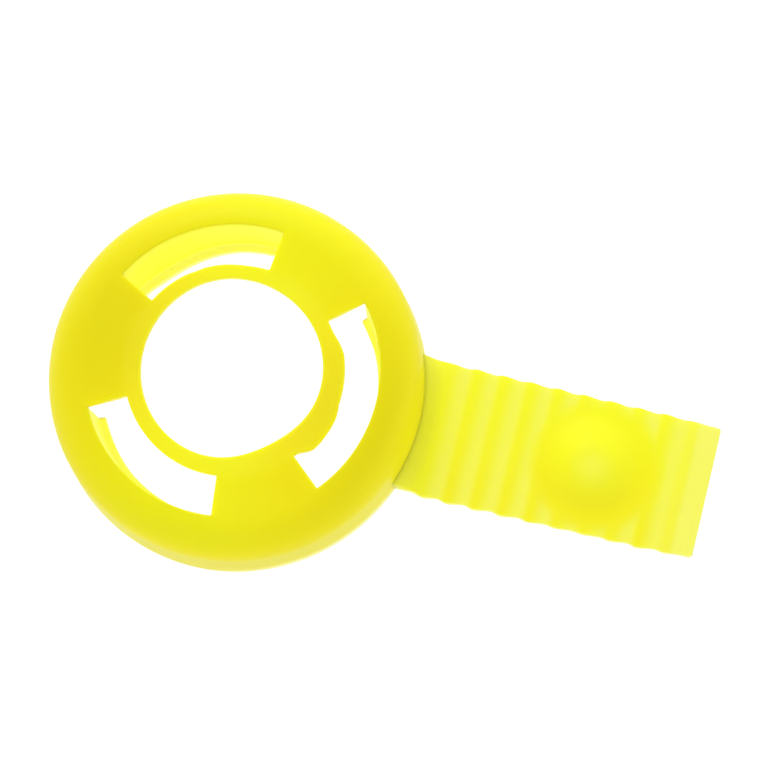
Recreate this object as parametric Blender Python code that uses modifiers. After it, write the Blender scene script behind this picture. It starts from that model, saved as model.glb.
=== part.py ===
"""Clip-on retaining ring with a ribbed pull tongue, as moulded in yellow polyethylene.

The real thing is one moulding. It is modelled as the regions that stay stiff or that flex:
a slotted cap ring, three snap hooks under its slots, and a tongue that bends at its first groove.
Frame: +X along the tongue, +Z up, origin at the middle of the bounding box, on the rim's level.
"""

import math

import bmesh
import bpy

MM = 0.001
GAP = 0.3 * MM

# Cap ring
OUTER_RADIUS = 17.8 * MM
FACE_HEIGHT = 8.4 * MM
HOLE_RADIUS = 8.5 * MM
WALL = 1.2 * MM
UNDERSIDE = FACE_HEIGHT - WALL
SKIRT_DRAFT = 0.25 * MM
SHOULDER_RADIUS = 3.6 * MM
RIM_ROUND = 0.3 * MM

# Slots in the face, one over each snap hook
SLOT_INNER_RADIUS = 10.0 * MM
SLOT_OUTER_RADIUS = 13.8 * MM
FRONT_SLOT_HALF_ANGLE = math.radians(40.0)
SIDE_SLOT_HALF_ANGLE = math.radians(34.3)
SIDE_SLOT_TURN = math.radians(118.0)

# Snap hooks
ARM_THICKNESS = 1.0 * MM
NOSE_DEPTH = 0.55 * MM
NOSE_TOP = 1.6 * MM
NOSE_TIP = 0.9 * MM
HOOK_FOOT = 0.3 * MM
HOOK_DROP = 0.45 * MM
HOOK_TOP = UNDERSIDE - HOOK_DROP
HOOK_END_CLEARANCE = math.radians(0.6)

# Pull tongue
TONGUE_REACH = 45.2 * MM
TONGUE_ROOT_WIDTH = 12.8 * MM
TONGUE_TIP_WIDTH = 12.5 * MM
RIB_THICKNESS = 1.6 * MM
GROOVE_THICKNESS = 0.8 * MM
RIB_PITCH = 2.6 * MM
RIB_COUNT = 10
FIRST_RIB = 19.1 * MM
STEEP_SHARE = 0.38
GENTLE_SHARE = 0.62
TONGUE_MIDDLE = RIB_THICKNESS / 2
FLEX_LINE = FIRST_RIB + GENTLE_SHARE * RIB_PITCH
FLEX_WEB_RADIUS = GROOVE_THICKNESS / 2

# Thumb dome on the tongue
DOME_CENTRE = 34.1 * MM
DOME_RADIUS = 5.4 * MM
DOME_RISE = 1.9 * MM
DOME_WALL = 0.9 * MM

RING_STEPS = 72
STEPS_PER_RIB = 9
SLOT_STEPS = 16
DOME_STEPS = 40
RING_X = -(TONGUE_REACH - OUTER_RADIUS) / 2

YELLOW = (0.84, 0.76, 0.013, 1.0)
PALE_YELLOW = (0.93, 0.90, 0.07, 1.0)


def clear_scene():
    for old in list(bpy.data.objects):
        bpy.data.objects.remove(old, do_unlink=True)


def new_collection(name):
    collection = bpy.data.collections.new(name)
    bpy.context.scene.collection.children.link(collection)
    return collection


def plastic(name, colour, roughness):
    material = bpy.data.materials.new(name)
    material.use_nodes = True
    shader = material.node_tree.nodes["Principled BSDF"]
    shader.inputs["Base Color"].default_value = colour
    shader.inputs["Roughness"].default_value = roughness
    shader.inputs["Metallic"].default_value = 0.0
    return material


def arc(centre, radius, start, end, steps):
    """Points on an arc of a section, from one angle to another, both ends included."""
    points = []
    for i in range(steps + 1):
        angle = math.radians(start + (end - start) * i / steps)
        points.append((centre[0] + radius * math.cos(angle), centre[1] + radius * math.sin(angle)))
    return points


def link_mesh(name, mesh, collection, material=None):
    obj = bpy.data.objects.new(name, mesh)
    collection.objects.link(obj)
    if material:
        mesh.materials.append(material)
    return obj


def turned(name, profile, collection, closed=True, steps=RING_STEPS):
    """A profile of (radius, height) points turned about the object's own Z axis."""
    mesh = bpy.data.meshes.new(name)
    count = len(profile)
    edges = [(i, (i + 1) % count) for i in range(count if closed else count - 1)]
    mesh.from_pydata([(radius, 0.0, height) for radius, height in profile], edges, [])
    obj = link_mesh(name, mesh, collection)
    screw = obj.modifiers.new("Turn", "SCREW")
    screw.axis = "Z"
    screw.angle = 2 * math.pi
    screw.steps = steps
    screw.render_steps = steps
    screw.use_merge_vertices = True
    screw.merge_threshold = 0.000001
    screw.use_smooth_shade = True
    return obj


def flat_solid(name, outline, thickness, collection):
    """A closed outline in the object's XY plane, thickened evenly to both sides and made a mesh."""
    curve = bpy.data.curves.new(name, "CURVE")
    curve.dimensions = "2D"
    curve.fill_mode = "BOTH"
    curve.extrude = thickness / 2
    spline = curve.splines.new("POLY")
    spline.points.add(len(outline) - 1)
    for point, (x, y) in zip(spline.points, outline):
        point.co = (x, y, 0.0, 1.0)
    spline.use_cyclic_u = True
    guide = bpy.data.objects.new(name + "_outline", curve)
    collection.objects.link(guide)
    depsgraph = bpy.context.evaluated_depsgraph_get()
    mesh = bpy.data.meshes.new_from_object(guide.evaluated_get(depsgraph))
    bpy.data.objects.remove(guide, do_unlink=True)
    shape = bmesh.new()
    shape.from_mesh(mesh)
    bmesh.ops.remove_doubles(shape, verts=shape.verts, dist=0.000001)
    bmesh.ops.recalc_face_normals(shape, faces=shape.faces)
    shape.to_mesh(mesh)
    shape.free()
    return link_mesh(name, mesh, collection)


def stand_up(obj):
    """Turn the mesh itself so that the outline's Y runs along the object's Z."""
    for vertex in obj.data.vertices:
        x, y, z = vertex.co
        vertex.co = (x, -z, y)


def cutter(obj):
    obj.hide_render = True
    obj.display_type = "WIRE"
    return obj


def boolean(obj, tool, operation):
    modifier = obj.modifiers.new(tool.name, "BOOLEAN")
    modifier.operation = operation
    modifier.solver = "EXACT"
    modifier.object = tool


def smooth(obj, degrees=35.0):
    obj.data.shade_smooth()
    obj.data.set_sharp_from_angle(angle=math.radians(degrees))


def band_outline(inner, outer, middle, half_angle):
    """The outline of an arc-shaped slot with radial ends."""
    outline = []
    for i in range(SLOT_STEPS + 1):
        angle = middle - half_angle + 2 * half_angle * i / SLOT_STEPS
        outline.append((outer * math.cos(angle), outer * math.sin(angle)))
    for i in range(SLOT_STEPS + 1):
        angle = middle + half_angle - 2 * half_angle * i / SLOT_STEPS
        outline.append((inner * math.cos(angle), inner * math.sin(angle)))
    return outline


def slots():
    """Name, middle angle and half angle of each slot, and of the hook under it."""
    return [
        ("front", 0.0, FRONT_SLOT_HALF_ANGLE),
        ("left", SIDE_SLOT_TURN, SIDE_SLOT_HALF_ANGLE),
        ("right", -SIDE_SLOT_TURN, SIDE_SLOT_HALF_ANGLE),
    ]


def shell_profile():
    """Section of the cap ring: flat face, rounded shoulder, skirt with a little draft, rounded rim."""
    top_radius = OUTER_RADIUS - SKIRT_DRAFT
    centre = (top_radius - SHOULDER_RADIUS, FACE_HEIGHT - SHOULDER_RADIUS)
    profile = [(HOLE_RADIUS, FACE_HEIGHT)]
    profile += arc(centre, SHOULDER_RADIUS, 90, 0, 9)
    profile += arc((OUTER_RADIUS - RIM_ROUND, RIM_ROUND), RIM_ROUND, 0, -90, 3)
    profile += arc((OUTER_RADIUS - WALL + RIM_ROUND, RIM_ROUND), RIM_ROUND, -90, -180, 3)
    profile += arc(centre, SHOULDER_RADIUS - WALL, 0, 90, 6)
    profile.append((HOLE_RADIUS, UNDERSIDE))
    return profile


def build_ring_shell(parts, cutters, material):
    shell = turned("ring_shell", shell_profile(), parts)
    shell.location.x = RING_X
    shell.data.materials.append(material)
    for name, middle, half_angle in slots():
        outline = band_outline(SLOT_INNER_RADIUS, SLOT_OUTER_RADIUS, middle, half_angle)
        tool = cutter(flat_solid("slot_cutter_" + name, outline, 3 * WALL, cutters))
        tool.location = (RING_X, 0.0, FACE_HEIGHT - WALL / 2)
        boolean(shell, tool, "DIFFERENCE")
    return shell


def hook_profile():
    """Section of a snap hook: a hanging arm with a flat catch and a lead-in below its nose."""
    inner = SLOT_OUTER_RADIUS
    outer = inner + ARM_THICKNESS
    tip = inner - NOSE_DEPTH
    return [
        (inner, HOOK_TOP),
        (outer, HOOK_TOP),
        (outer, HOOK_FOOT),
        (inner, HOOK_FOOT),
        (tip, NOSE_TIP),
        (tip, NOSE_TOP),
        (inner, NOSE_TOP),
    ]


def build_hooks(parts, cutters, material):
    hinge_radius = SLOT_OUTER_RADIUS + ARM_THICKNESS / 2
    for name, middle, half_angle in slots():
        hinge = bpy.data.objects.new("hook_hinge_" + name, None)
        parts.objects.link(hinge)
        hinge.location.x = RING_X + hinge_radius * math.cos(middle)
        hinge.location.y = hinge_radius * math.sin(middle)
        hinge.location.z = HOOK_TOP
        hook = turned("snap_hook_" + name, hook_profile(), parts)
        hook.data.materials.append(material)
        hook.parent = hinge
        hook.location = (RING_X - hinge.location.x, -hinge.location.y, -HOOK_TOP)
        reach = band_outline(
            SLOT_INNER_RADIUS, OUTER_RADIUS, middle, half_angle - HOOK_END_CLEARANCE
        )
        sector = cutter(flat_solid("hook_sector_" + name, reach, 3 * FACE_HEIGHT, cutters))
        sector.location.x = RING_X
        boolean(hook, sector, "INTERSECT")


def half_thickness(x):
    """Half the tongue's thickness: each rib is steep towards the ring and slopes gently to the tip."""
    groove = GROOVE_THICKNESS / 2
    height = (RIB_THICKNESS - GROOVE_THICKNESS) / 2
    place = (x - FIRST_RIB) / RIB_PITCH
    rib = max(0, min(RIB_COUNT - 1, math.floor(place + STEEP_SHARE)))
    offset = place - rib
    span = STEEP_SHARE if offset < 0 else GENTLE_SHARE
    if abs(offset) >= span:
        return groove
    return groove + height * 0.5 * (1 + math.cos(math.pi * offset / span))


def ribbed_outline(start, end):
    """Side view of the ribbed strip between two places on the tongue's axis."""
    steps = max(4, round((end - start) / RIB_PITCH * STEPS_PER_RIB))
    places = [start + (end - start) * i / steps for i in range(steps + 1)]
    upper = [(x, half_thickness(x)) for x in places]
    lower = [(x, -half_thickness(x)) for x in reversed(places)]
    return upper + lower


def taper(obj):
    """Narrow the strip evenly from its root width to its tip width."""
    for vertex in obj.data.vertices:
        share = (vertex.co.x - OUTER_RADIUS) / (TONGUE_REACH - OUTER_RADIUS)
        width = TONGUE_ROOT_WIDTH + (TONGUE_TIP_WIDTH - TONGUE_ROOT_WIDTH) * share
        vertex.co.y *= width / TONGUE_ROOT_WIDTH


def ribbed_strip(name, start, end, parts, material):
    strip = flat_solid(name, ribbed_outline(start, end), TONGUE_ROOT_WIDTH, parts)
    stand_up(strip)
    taper(strip)
    smooth(strip)
    strip.data.materials.append(material)
    return strip


def disc_cutter(name, radius, cutters):
    outline = arc((0.0, 0.0), radius, 0, 355, 71)
    return cutter(flat_solid(name, outline, 3 * FACE_HEIGHT, cutters))


def build_tongue_root(parts, cutters, material):
    """The short stub that is one with the skirt and ends before the flex line."""
    start = OUTER_RADIUS - 2 * WALL
    end = FLEX_LINE - FLEX_WEB_RADIUS - GAP
    root = ribbed_strip("tongue_root", start, end, parts, material)
    root.location = (RING_X, 0.0, TONGUE_MIDDLE)
    skirt = disc_cutter("skirt_clearance", OUTER_RADIUS + GAP, cutters)
    skirt.location.x = RING_X
    boolean(root, skirt, "DIFFERENCE")


def build_flex_web(parts, hinge, material):
    """The thin web in the first groove, where the tongue bends: a bar along the joint's axis."""
    outline = arc((0.0, 0.0), FLEX_WEB_RADIUS, 0, 330, 11)
    web = flat_solid("flex_web", outline, TONGUE_ROOT_WIDTH, parts)
    stand_up(web)
    smooth(web)
    web.data.materials.append(material)
    web.parent = hinge


def build_pull_tongue(parts, cutters, hinge, material):
    start = FLEX_LINE + FLEX_WEB_RADIUS + GAP
    tongue = ribbed_strip("pull_tongue", start, TONGUE_REACH, parts, material)
    tongue.parent = hinge
    tongue.location.x = -FLEX_LINE
    hole = disc_cutter("dome_clearance", DOME_RADIUS + GAP, cutters)
    hole.location.x = RING_X + DOME_CENTRE
    boolean(tongue, hole, "DIFFERENCE")


def dome_profile():
    """Section of the hollow dome: a spherical cap of even wall on a short straight foot."""
    foot = GROOVE_THICKNESS / 2
    sphere = (DOME_RADIUS ** 2 + DOME_RISE ** 2) / (2 * DOME_RISE)
    centre = (0.0, foot + DOME_RISE - sphere)
    slope = math.degrees(math.acos(DOME_RADIUS / sphere))
    inner = sphere - DOME_WALL
    inner_slope = math.degrees(math.asin((foot - centre[1]) / inner))
    foot_inner = inner * math.cos(math.radians(inner_slope))
    profile = arc(centre, sphere, 90, slope, 8)
    profile += [(DOME_RADIUS, -foot), (foot_inner, -foot)]
    profile += arc(centre, inner, inner_slope, 90, 7)
    profile[0] = (0.0, profile[0][1])
    profile[-1] = (0.0, profile[-1][1])
    return profile


def build_thumb_dome(parts, hinge, material):
    dome = turned("thumb_dome", dome_profile(), parts, closed=False, steps=DOME_STEPS)
    dome.data.materials.append(material)
    dome.parent = hinge
    dome.location.x = DOME_CENTRE - FLEX_LINE


def main():
    clear_scene()
    parts = new_collection("snap_ring_with_pull_tongue")
    cutters = new_collection("cutters")
    ring_plastic = plastic("ring_plastic", YELLOW, 0.35)
    tongue_plastic = plastic("tongue_plastic", PALE_YELLOW, 0.4)

    build_ring_shell(parts, cutters, ring_plastic)
    build_hooks(parts, cutters, ring_plastic)
    build_tongue_root(parts, cutters, tongue_plastic)

    tongue_hinge = bpy.data.objects.new("tongue_hinge", None)
    parts.objects.link(tongue_hinge)
    tongue_hinge.location = (RING_X + FLEX_LINE, 0.0, TONGUE_MIDDLE)
    build_flex_web(parts, tongue_hinge, tongue_plastic)
    build_pull_tongue(parts, cutters, tongue_hinge, tongue_plastic)
    build_thumb_dome(parts, tongue_hinge, tongue_plastic)


main()
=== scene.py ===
import math

import bpy
import numpy as np
from mathutils import Matrix, Vector


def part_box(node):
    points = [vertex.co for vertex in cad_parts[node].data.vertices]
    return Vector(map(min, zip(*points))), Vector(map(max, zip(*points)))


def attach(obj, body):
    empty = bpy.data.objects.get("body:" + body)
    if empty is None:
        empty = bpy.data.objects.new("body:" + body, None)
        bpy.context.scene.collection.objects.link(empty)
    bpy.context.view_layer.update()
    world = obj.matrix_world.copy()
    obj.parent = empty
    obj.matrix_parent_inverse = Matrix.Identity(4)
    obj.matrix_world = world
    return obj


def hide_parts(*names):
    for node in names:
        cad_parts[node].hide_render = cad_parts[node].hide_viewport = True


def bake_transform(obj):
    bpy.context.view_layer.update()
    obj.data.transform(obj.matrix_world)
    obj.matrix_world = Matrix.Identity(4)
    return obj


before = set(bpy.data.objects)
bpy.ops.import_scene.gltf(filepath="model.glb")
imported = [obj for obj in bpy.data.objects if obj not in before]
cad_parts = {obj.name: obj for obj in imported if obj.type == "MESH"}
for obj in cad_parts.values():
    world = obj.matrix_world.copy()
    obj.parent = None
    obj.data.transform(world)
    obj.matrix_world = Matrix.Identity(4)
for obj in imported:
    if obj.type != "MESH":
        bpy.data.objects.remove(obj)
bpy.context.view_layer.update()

# Clip-on ring with a ribbed pull tongue, one soft moulding in translucent yellow.
# Lengths in the dictionaries are millimetres, angles are degrees about the ring's own axis.
# A swell is (amount, middle, width), a rise or a fall is (amount, start, end), and a plateau is
# (amount, start, full, leave, end). A pair named for fades or an edge is where the change starts and ends.

mm = 0.001
shellLow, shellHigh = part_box("ring_shell")
domeLow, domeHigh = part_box("thumb_dome")
ringX = (shellLow.x + shellHigh.x) / 2 / mm
outerRadius = (shellHigh.y - shellLow.y) / 2 / mm
faceHeight = shellHigh.z / mm
domeReach = (domeLow.x + domeHigh.x) / 2 / mm - ringX
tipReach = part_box("pull_tongue")[1].x / mm - ringX


def smoothStep(low, high, x):
    share = np.clip((x - low) / (high - low), 0.0, 1.0)
    return share * share * (3.0 - 2.0 * share)   # 3 s squared less 2 s cubed


def plateau(x, start, full, leave, end):
    return smoothStep(start, full, x) * (1.0 - smoothStep(leave, end, x))   # up, level, down


def swell(x, middle, width):
    return np.exp(-((x - middle) / width) ** 2)   # e to the minus square of the distance in widths


def signedTurn(angle):
    return (angle + 180.0) % 360.0 - 180.0   # the same direction, between -180 and 180


def twoSidedSheet(top, under, kept, wraps):
    # A face on each side of every kept cell, and a wall along every edge between a kept and an open cell.
    rows, columns = top.shape[:2]
    topIndex = np.arange(rows * columns).reshape(rows, columns)
    if wraps:
        topIndex = np.concatenate((topIndex, topIndex[:, :1]), axis=1)
    shift = rows * columns
    a = topIndex[:-1, :-1]
    b = topIndex[1:, :-1]
    c = topIndex[1:, 1:]
    d = topIndex[:-1, 1:]
    around = np.pad(kept, 1)
    if wraps:
        around[1:-1, 0] = kept[:, -1]
        around[1:-1, -1] = kept[:, 0]
    faces = [np.stack((a, b, c, d), -1)[kept], np.stack((a, d, c, b), -1)[kept] + shift]
    sides = (
        (around[1:-1, :-2], a, b),
        (around[2:, 1:-1], b, c),
        (around[1:-1, 2:], c, d),
        (around[:-2, 1:-1], d, a),
    )
    for neighbour, first, second in sides:
        wall = np.stack((second, first, first + shift, second + shift), -1)
        faces.append(wall[kept & ~neighbour])
    faces = np.concatenate(faces)
    points = np.concatenate((top, under)).reshape(-1, top.shape[-1])
    used, compact = np.unique(faces, return_inverse=True)
    return points[used], compact.reshape(faces.shape)


def makePiece(name, points, faces, material):
    # points hold x, y, z, the thinness of the wall there with any painted glow added, and the level of
    # painted light and shade
    mesh = bpy.data.meshes.new(name)
    mesh.from_pydata((points[:, :3] * mm).tolist(), [], faces.tolist())
    mesh.attributes.new("thinnessAndGlow", "FLOAT", "POINT").data.foreach_set("value", points[:, 3])
    mesh.attributes.new("paintedLightLevel", "FLOAT", "POINT").data.foreach_set("value", points[:, 4])
    mesh.shade_smooth()
    mesh.materials.append(material)
    piece = bpy.data.objects.new(name, mesh)
    bpy.context.scene.collection.objects.link(piece)
    return piece


def roundEdges(piece, width, segments, angle):
    # Every edge that turns by more than the angle becomes an arc of the given width.
    bevel = piece.modifiers.new("roundEdges", "BEVEL")
    bevel.width = width * mm
    bevel.segments = segments
    bevel.limit_method = "ANGLE"
    bevel.angle_limit = math.radians(angle)
    bevel.miter_outer = "MITER_ARC"
    baked = bpy.data.meshes.new_from_object(piece.evaluated_get(bpy.context.evaluated_depsgraph_get()))
    piece.modifiers.clear()
    piece.data = baked


def onRing(radius, angle, height, thinnessAndGlow, paintedLightLevel):
    # x is the radius times the cosine of the angle from the ring's axis, y the radius times its sine
    turn = np.radians(angle)
    x = ringX + radius * np.cos(turn)
    y = radius * np.sin(turn)
    return np.stack(np.broadcast_arrays(x, y, height, thinnessAndGlow, paintedLightLevel), -1)


class Socket:
    # One output of a shader node, so that shader maths reads as plain sums.
    def __init__(self, tree, output):
        self.tree = tree
        self.output = output

    def maths(self, operation, first, second):
        return self.tree.node("ShaderNodeMath", {"operation": operation}, {0: first, 1: second})

    def __add__(self, other):
        return self.maths("ADD", self, other)

    def __radd__(self, other):
        return self.maths("ADD", other, self)

    def __sub__(self, other):
        return self.maths("SUBTRACT", self, other)

    def __rsub__(self, other):
        return self.maths("SUBTRACT", other, self)

    def __mul__(self, other):
        return self.maths("MULTIPLY", self, other)

    def __rmul__(self, other):
        return self.maths("MULTIPLY", other, self)


class ShaderTree:
    def __init__(self, owner):
        self.owner = owner
        owner.use_nodes = True
        self.nodes = owner.node_tree.nodes
        self.links = owner.node_tree.links
        self.nodes.clear()

    def node(self, kind, settings, inputs, output=0):
        made = self.nodes.new(kind)
        for key, value in settings.items():
            setattr(made, key, value)
        for key, value in inputs.items():
            if isinstance(value, Socket):
                self.links.new(value.output, made.inputs[key])
            else:
                made.inputs[key].default_value = value
        return Socket(self, made.outputs[output]) if made.outputs else None

    def attribute(self, name):
        return self.node("ShaderNodeAttribute", {"attribute_name": name}, {}, "Fac")

    def noise(self, place, scale, detail):
        return self.node("ShaderNodeTexNoise", {}, {"Vector": place, "Scale": scale, "Detail": detail})

    def mix(self, factor, first, second):
        # sockets 6 and 7 and output 2 are the ones for colours
        return self.node("ShaderNodeMix", {"data_type": "RGBA"}, {0: factor, 6: first, 7: second}, 2)


plastic = {
    "drift": (140.0, 2.0),   # scale and detail
    "grain": (2600.0, 3.0),
    "wave": (420.0, 1.0),
    "roughness": 0.4,
    "driftRoughness": 0.10,
    "grainRoughness": 0.06,
    "grainDepth": 0.008,
    "waveDepth": 0.02,
    "specular": 0.12,
    "refraction": 1.5,
    "glowColour": (1.0, 0.97, 0.03, 1.0),
}

# Thick plastic goes from its colour in painted shade to its colour in painted light with the painted light
# level, and to pale where it is thin or carries a painted glow.
# The glow stands in for light that comes through the skirt onto the hooks.
finishes = {
    "ring": {
        "paintedShadeColour": (0.82, 0.745, 0.005, 1.0),
        "paintedLight": (0.985, 0.885, 0.009, 1.0),
        "pale": (0.98, 0.96, 0.5, 1.0),
        "scatter": (0.7, 0.7, 0.12),
        "mottle": 0.02,
        "glow": 0.0,
    },
    "hook": {
        "paintedShadeColour": (0.99, 0.98, 0.004, 1.0),
        "paintedLight": (0.99, 0.98, 0.004, 1.0),
        "pale": (0.99, 0.98, 0.45, 1.0),
        "scatter": (0.8, 0.8, 0.2),
        "mottle": 0.06,
        "glow": 0.13,
    },
    "tongue": {
        "paintedShadeColour": (0.96, 0.855, 0.016, 1.0),
        "paintedLight": (1.0, 0.965, 0.02, 1.0),
        "pale": (0.985, 0.92, 0.19, 1.0),
        "scatter": (1.6, 1.6, 0.4),
        "mottle": 0.1,
        "glow": 0.0,
    },
}


def yellowPlastic(name, spec, finish):
    # Colour follows the two attributes, thinness with painted glow and a painted light level, plus a faint
    # mottle; roughness and bump follow noise about a half.
    tree = ShaderTree(bpy.data.materials.new(name))
    place = tree.node("ShaderNodeTexCoord", {}, {}, "Object")
    drift = tree.noise(place, *spec["drift"])
    grain = tree.noise(place, *spec["grain"])
    wave = tree.noise(place, *spec["wave"])
    # painted light and shade: a shaded and a lit copy of the thick plastic's colour
    thick = tree.mix(tree.attribute("paintedLightLevel"), finish["paintedShadeColour"], finish["paintedLight"])
    # paleness where the wall is thin, with painted glow added on the skirt's rim, the hooks' lower parts and
    # the dome's crown
    paleness = tree.attribute("thinnessAndGlow") + (drift - 0.5) * finish["mottle"]
    dullness = (drift - 0.5) * spec["driftRoughness"] + (grain - 0.5) * spec["grainRoughness"]
    height = grain * spec["grainDepth"] + wave * spec["waveDepth"]
    shader = tree.node("ShaderNodeBsdfPrincipled", {"subsurface_method": "RANDOM_WALK"}, {
        "Base Color": tree.mix(paleness, thick, finish["pale"]),
        "Roughness": spec["roughness"] + dullness,
        "Normal": tree.node("ShaderNodeBump", {}, {"Height": height, "Distance": mm, "Strength": 1.0}),
        "IOR": spec["refraction"],
        "Specular IOR Level": spec["specular"],
        "Subsurface Weight": 1.0,
        "Subsurface Radius": finish["scatter"],
        "Subsurface Scale": mm,
        "Emission Color": spec["glowColour"],
        "Emission Strength": finish["glow"],
    })
    tree.node("ShaderNodeOutputMaterial", {}, {"Surface": shader})
    return tree.owner


ringPlastic = yellowPlastic("ringPlastic", plastic, finishes["ring"])
hookPlastic = yellowPlastic("hookPlastic", plastic, finishes["hook"])
tonguePlastic = yellowPlastic("tonguePlastic", plastic, finishes["tongue"])
print("plastic made")


ring = {
    "holeRadius": 8.5,
    "slotInner": 10.0,
    "slotOuter": 13.8,
    "slots": {"front": (0.0, 40.8), "left": (118.0, 34.5), "right": (-118.0, 34.5)},   # middle and half
    "shoulder": 3.6,
    "draft": 0.25,
    "wall": 1.2,
    "bandWall": 0.95,
    "bandEnds": (10.1, 11.0),
    "bandRows": 6,
    "slotRows": 11,
    "shoulderRows": 16,
    "skirtRows": 12,
    "columnStep": 1.5,
    "edgeRound": (0.13, 3, 50.0),   # width, segments, least angle
    "holeFalloff": 1.5,
    "holeSwells": ((-0.54, -50.0, 31.0), (0.2, 115.0, 35.0)),
    "slotEdgeSwells": ((-0.1, 96.0, 12.0), (-0.06, 124.0, 3.0)),
    "slotEdgePlateaus": ((0.5, -40.5, -31.0, 20.0, 36.0), (0.26, -38.5, -28.0, -14.0, -3.0)),
    # Painted light and shade on the ring: the face's level and wave, its fade to painted shade low on the
    # skirt, and painted light on the band and the shoulder.
    "paintedFaceLight": 0.6,
    "paintedFaceLightWave": 0.4,
    "paintedLightestAt": 85.0,
    "paintedLightFades": (4.0, 8.0),
    "bandPaleFades": (9.6, 10.6),
    "paintedBandLight": 0.1,
    "bandThinness": 0.02,
    "paintedShoulderLight": (0.5, -8.0, 28.0),
    "paintedShoulderLightRadius": (15.2, 17.0),
    # painted glow and painted light low on one side of the skirt's rim
    "paintedRimGlowFades": (0.1, 1.7),
    "paintedRimGlow": (-90.0, -55.0, -30.0, -12.0),   # start, full, leave, end
}


def turnSamples(spec):
    # Angles once round, with every slot's two ends among them, and whether the cell after each is in a slot.
    ends = sorted((middle - half, middle + half) for middle, half in spec["slots"].values())
    marks = [mark for pair in ends for mark in pair]
    marks.append(marks[0] + 360.0)
    angles = []
    inSlot = []
    for k in range(len(marks) - 1):
        count = round((marks[k + 1] - marks[k]) / spec["columnStep"])
        angles.append(np.linspace(marks[k], marks[k + 1], count, endpoint=False))
        inSlot.append(np.full(count, k % 2 == 0))
    return np.concatenate(angles), np.concatenate(inSlot)


def edgeDrift(angle, radius, spec):
    # How far the edges wander: the hole's swells fade out across the band, and the slot edge's swells and
    # plateaus grow across the band and fade out again across the slot.
    angle = signedTurn(angle)
    hole = sum(amount * swell(angle, *shape) for amount, *shape in spec["holeSwells"])
    slotEdge = sum(amount * swell(angle, *shape) for amount, *shape in spec["slotEdgeSwells"])
    slotEdge = slotEdge + sum(amount * plateau(angle, *shape) for amount, *shape in spec["slotEdgePlateaus"])
    fromHole = np.clip((radius - spec["holeRadius"]) / (spec["slotInner"] - spec["holeRadius"]), 0.0, 1.0)
    beyond = np.clip((radius - spec["slotInner"]) / (spec["slotOuter"] - spec["slotInner"]), 0.0, 1.0)
    return hole * (1.0 - fromHole) ** spec["holeFalloff"] + slotEdge * fromHole * (1.0 - beyond)


def ringSection(spec):
    # Rows from the hole to the rim: a flat face, a quarter circle for the shoulder, a straight drafted skirt.
    # Each row has a radius and a height outside, and a radius and a height inside.
    band = np.linspace(spec["holeRadius"], spec["slotInner"], spec["bandRows"])
    slot = np.linspace(spec["slotInner"], spec["slotOuter"], spec["slotRows"])[1:]
    flat = np.concatenate((band, slot))
    bend = np.radians(np.linspace(0.0, 90.0, spec["shoulderRows"]))
    down = np.linspace(0.0, 1.0, spec["skirtRows"])[1:]
    outer = spec["shoulder"]
    inner = outer - spec["wall"]
    skirtR = outerRadius - spec["draft"]
    centreR = skirtR - outer
    centreZ = faceHeight - outer
    thickness = spec["bandWall"] + (spec["wall"] - spec["bandWall"]) * smoothStep(*spec["bandEnds"], flat)
    skirt = skirtR + spec["draft"] * down
    fall = centreZ * (1.0 - down)
    outR = np.concatenate((flat, centreR + outer * np.sin(bend), skirt))
    outZ = np.concatenate((np.full(flat.size, faceHeight), centreZ + outer * np.cos(bend), fall))
    inR = np.concatenate((flat, centreR + inner * np.sin(bend), skirt - spec["wall"]))
    inZ = np.concatenate((faceHeight - thickness, centreZ + inner * np.cos(bend), fall))
    return outR, outZ, inR, inZ


def ringShades(angle, radius, height, spec):
    # The face's painted light and shade is a level plus a cosine of twice the angle and a little more on the
    # band, fading to painted shade low on the skirt, with a swell of painted light on the shoulder by the
    # tongue; thinness is the band's own plus a plateau of painted glow low on one side of the skirt.
    angle = signedTurn(angle)
    onBand = 1.0 - smoothStep(*spec["bandPaleFades"], radius)
    amount, *shape = spec["paintedShoulderLight"]
    wave = np.cos(np.radians(2.0 * (angle - spec["paintedLightestAt"])))
    paintedLight = spec["paintedFaceLight"] + spec["paintedFaceLightWave"] * wave + spec["paintedBandLight"] * onBand
    paintedLight = paintedLight * smoothStep(*spec["paintedLightFades"], height)
    paintedLight = paintedLight + amount * smoothStep(*spec["paintedShoulderLightRadius"], radius) * swell(angle, *shape)
    # painted glow on the skirt's rim, which also sets the painted light there to full
    rimGlow = (1.0 - smoothStep(*spec["paintedRimGlowFades"], height)) * plateau(angle, *spec["paintedRimGlow"])
    return spec["bandThinness"] * onBand + rimGlow, np.clip(np.maximum(paintedLight, rimGlow), 0.0, 1.0)


def buildRing(spec):
    # The section's rows are carried once round the axis, and the cells inside the slots are left open.
    angles, inSlot = turnSamples(spec)
    angle = angles[None, :]
    outR, outZ, inR, inZ = (row[:, None] for row in ringSection(spec))
    thinAndGlow, paintedLight = ringShades(angle, outR, outZ, spec)
    top = onRing(outR + edgeDrift(angle, outR, spec), angle, outZ, thinAndGlow, paintedLight)
    under = onRing(inR + edgeDrift(angle, inR, spec), angle, inZ, thinAndGlow, paintedLight)
    middles = (outR[:-1, 0] + outR[1:, 0]) / 2
    slotRows = (middles > spec["slotInner"]) & (middles < spec["slotOuter"])
    kept = ~(slotRows[:, None] & inSlot[None, :])
    piece = makePiece("ringShell", *twoSidedSheet(top, under, kept, True), ringPlastic)
    roundEdges(piece, *spec["edgeRound"])
    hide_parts("ring_shell")
    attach(piece, "root")


buildRing(ring)
print("ring made")


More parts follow.
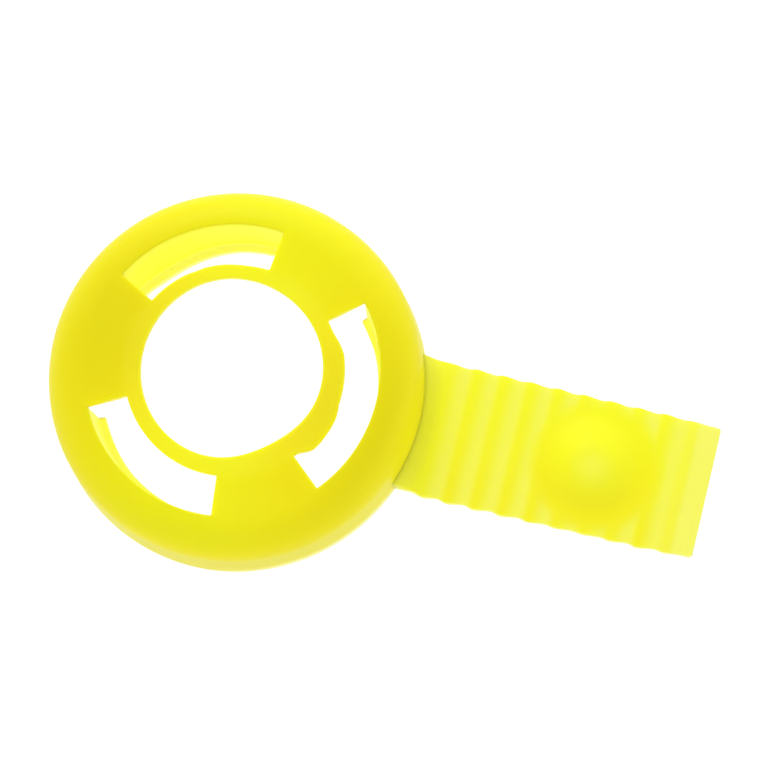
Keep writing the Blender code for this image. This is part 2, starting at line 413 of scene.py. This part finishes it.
hooks = {
    "arm": 1.0,
    "armRows": 9,
    "noseDepth": 0.55,
    "noseTop": 1.6,
    "noseTip": 0.9,
    "foot": 0.3,
    "tuck": 1.0,
    "proud": 0.03,
    "cornerRadius": 0.2,
    "cornerAngles": (30.0, 60.0, 90.0),
    "endGap": 0.3,
    "columnStep": 2.0,
    "edgeRound": (0.12, 2, 40.0),
    "flexTop": 6.9,
    "flexEnd": 3.6,
    "thinnessAndGlow": 0.02,
    # painted light: the lower hook is painted paler where it lies in shade
    "paintedPaleFoot": (0.9, 0.62, 0.86),
    "leans": {
        "front": (0.04, ((0.2, 20.0, 40.0),)),
        "left": (0.5, ((0.6, 100.0, 138.0), (-0.25, 138.0, 152.0))),
        "right": (0.22, ((-0.22, -150.0, -122.0),)),
    },
}


def armInside(spec, rootR, armTop):
    # Rows down the inside of a hook: straight arm, rounded corner, flat catch, nose, sloping lead-in.
    corner = spec["cornerRadius"]
    bend = np.radians(spec["cornerAngles"])
    noseR = rootR - spec["noseDepth"]
    noseTop = spec["noseTop"]
    noseTip = spec["noseTip"]
    foot = spec["foot"]
    radius = np.concatenate((
        np.full(spec["armRows"], rootR),
        rootR - corner * (1.0 - np.cos(bend)),
        (noseR, noseR, noseR),
        ((noseR + rootR) / 2, rootR),
    ))
    height = np.concatenate((
        np.linspace(armTop, noseTop + corner, spec["armRows"]),
        noseTop + corner * (1.0 - np.sin(bend)),
        (noseTop, (noseTop + noseTip) / 2, noseTip),
        ((noseTip + foot) / 2, foot),
    ))
    return radius, height


def buildHook(spec, side, name, node):
    # Inside and outside of the arm as two sheets: rows run down the arm, columns along its arc.
    # The lean is a base plus rises with the angle, and grows evenly from the face down to the foot.
    middle, half = ring["slots"][side]
    leanBase, leanRises = spec["leans"][side]
    underside = faceHeight - ring["wall"]
    rootR = ring["slotOuter"] - spec["proud"]
    insideR, insideZ = armInside(spec, rootR, underside + spec["tuck"])
    rows = insideR.size
    outsideR = np.full(rows, rootR + spec["arm"])
    outsideZ = np.linspace(underside + spec["tuck"], spec["foot"], rows)
    reach = half - spec["endGap"]
    angles = np.linspace(middle - reach, middle + reach, round(2 * reach / spec["columnStep"]) + 1)
    lean = leanBase + sum(amount * smoothStep(start, full, angles) for amount, start, full in leanRises)
    hang = np.clip((underside - insideZ) / underside, 0.0, 1.0)[:, None]
    hangOut = np.clip((underside - outsideZ) / underside, 0.0, 1.0)[:, None]
    # painted light, paler towards the foot
    amount, start, full = spec["paintedPaleFoot"]
    thinAndGlow = spec["thinnessAndGlow"] + amount * smoothStep(start, full, hang)
    inside = onRing(insideR[:, None] - lean * hang, angles, insideZ[:, None], thinAndGlow, 1.0)
    outside = onRing(outsideR[:, None] - lean * hangOut, angles, outsideZ[:, None], thinAndGlow, 1.0)
    kept = np.ones((rows - 1, angles.size - 1), bool)
    piece = makePiece(name, *twoSidedSheet(outside, inside, kept, False), hookPlastic)
    roundEdges(piece, *spec["edgeRound"])
    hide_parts(node)
    turn = math.radians(middle)
    x = (ringX + rootR * math.cos(turn)) * mm
    y = rootR * math.sin(turn) * mm
    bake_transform(piece)


buildHook(hooks, "front", "snapHookFront", "snap_hook_front")
buildHook(hooks, "left", "snapHookLeft", "snap_hook_left")
buildHook(hooks, "right", "snapHookRight", "snap_hook_right")
print("hooks made")


tongue = {
    "rootRadius": 17.2,
    "rootRows": 8,
    "straightFrom": 18.35,
    "rowStep": 0.13,
    "columns": 97,
    "crowding": 0.72,
    "rootWidth": 12.98,
    "tipWidth": 12.62,
    "upperTrim": 0.09,
    "lowerTrim": (0.03, -0.11),   # at the skirt, and more by the tip
    "lowerRootTrim": (0.45, 17.6, 19.8),
    "scallop": 0.13,
    "lowerScallop": 0.169,
    "quietByDome": (0.75, 4.6),   # share and width
    "cornerDrop": 0.3,
    "cornerReach": 0.35,
    "middle": 0.8,
    "groove": 0.8,
    "rib": 1.6,
    "endStrip": 0.6,
    "endStripFrom": (42.9, 43.5),
    "pitch": 2.6,
    "firstRib": 19.1,
    "ribCount": 10,
    "steep": 0.34,
    "gentle": 0.66,
    "lastRib": 0.5,
    "topRelief": 0.17,
    "edgeThinning": (0.12, 6),   # share and power
    "padShift": 0.5,
    "padEdge": (4.8, 6.8),
    "padThickness": 1.45,
    "domeRadius": 5.6,
    "domeCrown": 1.0,
    "domeRise": 1.9,
    "domeWall": 0.75,
    "domeFillet": 0.5,
    "hollowEdge": (0.6, 4.8),
    "rootFillet": (1.4, 17.5, 19.3),
    "edgeRound": (0.16, 2, 50.0),
    "bendRibs": 2,
}

# Painted light and shade on the tongue: a level, lighter to one side, by the skirt and on the dome, darker on
# the pad.
tongueShades = {
    "ribThinness": 0.08,
    "thinnessPerMm": 0.8,
    "middleShare": 0.82,
    "endThinness": 0.16,
    "rootFades": (18.0, 22.0),
    "rootEdgeThinness": 0.12,
    # a painted glow spot on the dome's crown
    "paintedGlowSpotPlace": (0.2, -0.4),
    "paintedGlowSpot": (0.36, 0.2, 2.7),
    "paintedLight": 0.4,
    "paintedLightAcross": 0.5,
    "paintedDomeLight": (0.8, 0.0, 3.0),
    "paintedPadShade": -0.3,
    "paintedRootLight": 1.2,
}


def ribShare(x, spec):
    # Each rib rises steeply on the ring's side and falls gently to the tip, as raised cosines.
    place = (x - spec["firstRib"]) / spec["pitch"]
    rib = np.clip(np.floor(place + spec["steep"]), 0, spec["ribCount"] - 1)
    offset = place - rib
    span = np.where(offset < 0, spec["steep"], spec["gentle"])
    share = np.where(np.abs(offset) < span, 0.5 + 0.5 * np.cos(math.pi * offset / span), 0.0)
    share = np.where(place < 0, 1.0, share)   # the strip stays thick from the skirt to its first rib
    return share * np.where(rib == spec["ribCount"] - 1, spec["lastRib"], 1.0)


def softMax(a, b, blend):
    # The larger of two, with the corner between them filled to a blend's width.
    share = np.clip(0.5 + 0.5 * (a - b) / blend, 0.0, 1.0)
    return b + (a - b) * share + blend * share * (1.0 - share)


def tongueOutline(spec):
    # Rows along the tongue from inside the skirt to the tip, columns across it, edges waving with the ribs.
    straight = np.append(np.arange(spec["straightFrom"], tipReach, spec["rowStep"]), tipReach)
    share = (straight - outerRadius) / (tipReach - outerRadius)
    halfWidth = (spec["rootWidth"] + (spec["tipWidth"] - spec["rootWidth"]) * share) / 2
    wave = ribShare(straight, spec) - 0.5
    quietness, quietWidth = spec["quietByDome"]
    quiet = 1.0 - quietness * swell(straight, domeReach, quietWidth)
    nearCorner = np.clip((straight - tipReach + spec["cornerReach"]) / spec["cornerReach"], 0.0, 1.0)
    corner = spec["cornerDrop"] * (1.0 - np.sqrt(1.0 - nearCorner ** 2))
    rootTrim, trimFrom, trimTo = spec["lowerRootTrim"]
    trim, trimAlong = spec["lowerTrim"]
    upper = halfWidth + spec["scallop"] * wave - corner - spec["upperTrim"]
    lower = halfWidth + spec["lowerScallop"] * wave * quiet - corner - trim - trimAlong * share
    lower = lower - rootTrim * (1.0 - smoothStep(trimFrom, trimTo, straight))
    crowd = math.pi / 2 * spec["crowding"]
    side = (np.sin(np.linspace(-1.0, 1.0, spec["columns"]) * crowd) / math.sin(crowd))[None, :]
    y = np.where(side > 0, side * upper[:, None], side * lower[:, None])
    rootX = np.sqrt(spec["rootRadius"] ** 2 - y[:1] ** 2)
    inward = np.linspace(0.0, 1.0, spec["rootRows"])[:-1, None]
    rootRows = rootX + (spec["straightFrom"] - rootX) * inward
    x = np.concatenate((rootRows, np.repeat(straight[:, None], spec["columns"], axis=1)))
    y = np.concatenate((np.repeat(y[:1], spec["rootRows"] - 1, axis=0), y))
    return x, y, side


def tongueThickness(x, onPad, spec):
    # Grooves and ribs, then the plain end strip, and the even pad that lies over the ribs round the dome.
    onEnd = smoothStep(*spec["endStripFrom"], x)
    ribbed = spec["groove"] + (spec["rib"] - spec["groove"]) * ribShare(x, spec)
    thickness = ribbed * (1.0 - onEnd) + spec["endStrip"] * onEnd
    return thickness * (1.0 - onPad) + spec["padThickness"] * onPad, onEnd


def tongueHeights(x, y, side, thickness, spec):
    # The strip's two faces, the dome as a smooth step down from its crown, its hollow, and the root's fillet.
    foot = spec["groove"] / 2
    edgeShare, edgePower = spec["edgeThinning"]
    crown = 1.0 - edgeShare * np.abs(side) ** edgePower
    upperHalf = foot + (thickness - spec["groove"]) * spec["topRelief"] / spec["groove"]
    fromDome = np.hypot(x - domeReach, y)
    cap = foot + spec["domeRise"] * (1.0 - smoothStep(spec["domeCrown"], spec["domeRadius"], fromDome))
    hollowRise = spec["domeRise"] + 2.0 * foot - spec["domeWall"]
    hollow = hollowRise * (1.0 - smoothStep(*spec["hollowEdge"], fromDome))
    filletHeight, filletFrom, filletTo = spec["rootFillet"]
    fillet = filletHeight * (1.0 - smoothStep(filletFrom, filletTo, np.hypot(x, y)))
    topZ = spec["middle"] + softMax(cap, upperHalf * crown, spec["domeFillet"]) + fillet
    underZ = spec["middle"] - thickness / 2 * crown + hollow
    return topZ, underZ


def tongueShading(x, y, side, thickness, onPad, onEnd, shades, spec):
    # Paler where it is thin and at the end strip, with a painted glow on the dome's crown; painted light on
    # one side, by the skirt and on the dome, and painted shade on the pad.
    thinAndGlow = shades["thinnessPerMm"] * (spec["rib"] - thickness)
    thinAndGlow = thinAndGlow * (shades["middleShare"] + (1.0 - shades["middleShare"]) * side ** 2)
    atRoot = 1.0 - smoothStep(*shades["rootFades"], x)
    thinAndGlow = thinAndGlow + shades["ribThinness"] + shades["endThinness"] * onEnd
    thinAndGlow = thinAndGlow + shades["rootEdgeThinness"] * atRoot * side ** 2
    # painted glow spot on the dome's crown
    spotX, spotY = shades["paintedGlowSpotPlace"]
    spotStrength, spotFull, spotEnd = shades["paintedGlowSpot"]
    fromSpot = np.hypot(x - domeReach - spotX, y - spotY)
    thinAndGlow = thinAndGlow * (1.0 - onPad) + spotStrength * (1.0 - smoothStep(spotFull, spotEnd, fromSpot))
    amount, *shape = shades["paintedDomeLight"]
    paintedLight = shades["paintedLight"] + shades["paintedLightAcross"] * side + shades["paintedRootLight"] * atRoot
    paintedLight = paintedLight + amount * swell(np.hypot(x - domeReach, y), *shape) + shades["paintedPadShade"] * onPad
    return thinAndGlow, np.clip(paintedLight, 0.0, 1.0)


def buildTongue(spec, shades):
    # Top and underside are two sheets on one outline, a thickness apart.
    x, y, side = tongueOutline(spec)
    onPad = 1.0 - smoothStep(*spec["padEdge"], np.hypot(x - domeReach - spec["padShift"], y))
    thickness, onEnd = tongueThickness(x, onPad, spec)
    topZ, underZ = tongueHeights(x, y, side, thickness, spec)
    thinAndGlow, paintedLight = tongueShading(x, y, side, thickness, onPad, onEnd, shades, spec)
    top = np.stack((x + ringX, y, topZ, thinAndGlow, paintedLight), -1)
    under = np.stack((x + ringX, y, underZ, thinAndGlow, paintedLight), -1)
    kept = np.ones((x.shape[0] - 1, x.shape[1] - 1), bool)
    piece = makePiece("pullTongue", *twoSidedSheet(top, under, kept, False), tonguePlastic)
    roundEdges(piece, *spec["edgeRound"])
    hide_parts("tongue_root", "flex_web", "pull_tongue", "thumb_dome")
    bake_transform(piece)


buildTongue(tongue, tongueShades)
print("tongue made")


# The studio's own lengths are metres.
studio = {
    "floorGlow": 0.97,
    "floorColour": (0.1, 0.1, 0.1, 1.0),
    "floorRoughness": 0.9,
    "floorSize": 2.0,
    "floorLevel": -0.032,
    "skyHigh": 0.52,
    "skyLow": 0.98,
    "skyBlend": (0.55, 0.92),
    "keyAzimuth": 115.0,
    "keyElevation": 40.0,
    "keyDistance": 0.5,
    "keySize": 0.3,
    "keyPower": 0.65,
    "azimuth": -59.33,
    "elevation": 78.42,
    "roll": -17.15,
    "distance": 0.3,
    "lens": 149.82,
    "sensor": 36.0,
    "clipStart": 0.01,
    "target": (-0.000145, 0.002788, 0.003),
}
white = (1.0, 1.0, 1.0, 1.0)


def direction(azimuth, elevation):
    # Unit vector from the object: cosines of both angles give x, and z is the sine of the elevation.
    turn = math.radians(azimuth)
    rise = math.radians(elevation)
    return Vector((math.cos(rise) * math.cos(turn), math.cos(rise) * math.sin(turn), math.sin(rise)))


def buildFloor(spec):
    # A white lit surface, set low beneath the object.
    tree = ShaderTree(bpy.data.materials.new("paleFloor"))
    shader = tree.node("ShaderNodeBsdfPrincipled", {}, {
        "Base Color": spec["floorColour"],
        "Roughness": spec["floorRoughness"],
        "Specular IOR Level": 0.0,
        "Emission Color": white,
        "Emission Strength": spec["floorGlow"],
    })
    tree.node("ShaderNodeOutputMaterial", {}, {"Surface": shader})
    half = spec["floorSize"] / 2
    level = spec["floorLevel"]
    corners = [(-half, -half, level), (half, -half, level), (half, half, level), (-half, half, level)]
    mesh = bpy.data.meshes.new("floor")
    mesh.from_pydata(corners, [], [(0, 1, 2, 3)])
    mesh.materials.append(tree.owner)
    floor = bpy.data.objects.new("floor", mesh)
    bpy.context.scene.collection.objects.link(floor)


def buildSky(spec):
    # A light tent: bright all round and dimmer overhead.
    tree = ShaderTree(bpy.data.worlds.new("softSky"))
    facing = tree.node("ShaderNodeTexCoord", {}, {}, "Generated")
    height = tree.node("ShaderNodeSeparateXYZ", {}, {"Vector": facing}, "Z")
    blendFrom, blendTo = spec["skyBlend"]
    strength = tree.node("ShaderNodeMapRange", {"interpolation_type": "SMOOTHSTEP"}, {
        "Value": height,
        "From Min": blendFrom,
        "From Max": blendTo,
        "To Min": spec["skyLow"],
        "To Max": spec["skyHigh"],
    })
    glow = tree.node("ShaderNodeBackground", {}, {"Color": white, "Strength": strength})
    tree.node("ShaderNodeOutputWorld", {}, {"Surface": glow})
    bpy.context.scene.world = tree.owner


def buildKeyLight(spec):
    # A small square lamp at a distance along its direction, turned to face the object.
    key = bpy.data.lights.new("key", "AREA")
    key.size = spec["keySize"]
    key.energy = spec["keyPower"]
    lamp = bpy.data.objects.new("key", key)
    bpy.context.scene.collection.objects.link(lamp)
    toLight = direction(spec["keyAzimuth"], spec["keyElevation"])
    lamp.location = toLight * spec["keyDistance"]
    lamp.rotation_euler = toLight.to_track_quat("Z", "Y").to_euler()


def buildCamera(spec):
    # It looks along the line back to the target, level with the floor and then rolled about its own axis.
    data = bpy.data.cameras.new("camera")
    data.lens = spec["lens"]
    data.sensor_width = spec["sensor"]
    data.clip_start = spec["clipStart"]
    camera = bpy.data.objects.new("camera", data)
    bpy.context.scene.collection.objects.link(camera)
    back = direction(spec["azimuth"], spec["elevation"])
    right = (-back).cross(Vector((0, 0, 1))).normalized()
    up = right.cross(-back)
    level = Matrix((right, up, back)).transposed()
    roll = Matrix.Rotation(math.radians(spec["roll"]), 3, "Z")
    place = Vector(spec["target"]) + back * spec["distance"]
    camera.matrix_world = Matrix.Translation(place) @ (level @ roll).to_4x4()
    bpy.context.scene.camera = camera


buildFloor(studio)
buildSky(studio)
buildKeyLight(studio)
buildCamera(studio)
bpy.context.scene.view_settings.view_transform = "Standard"
print("studio made")
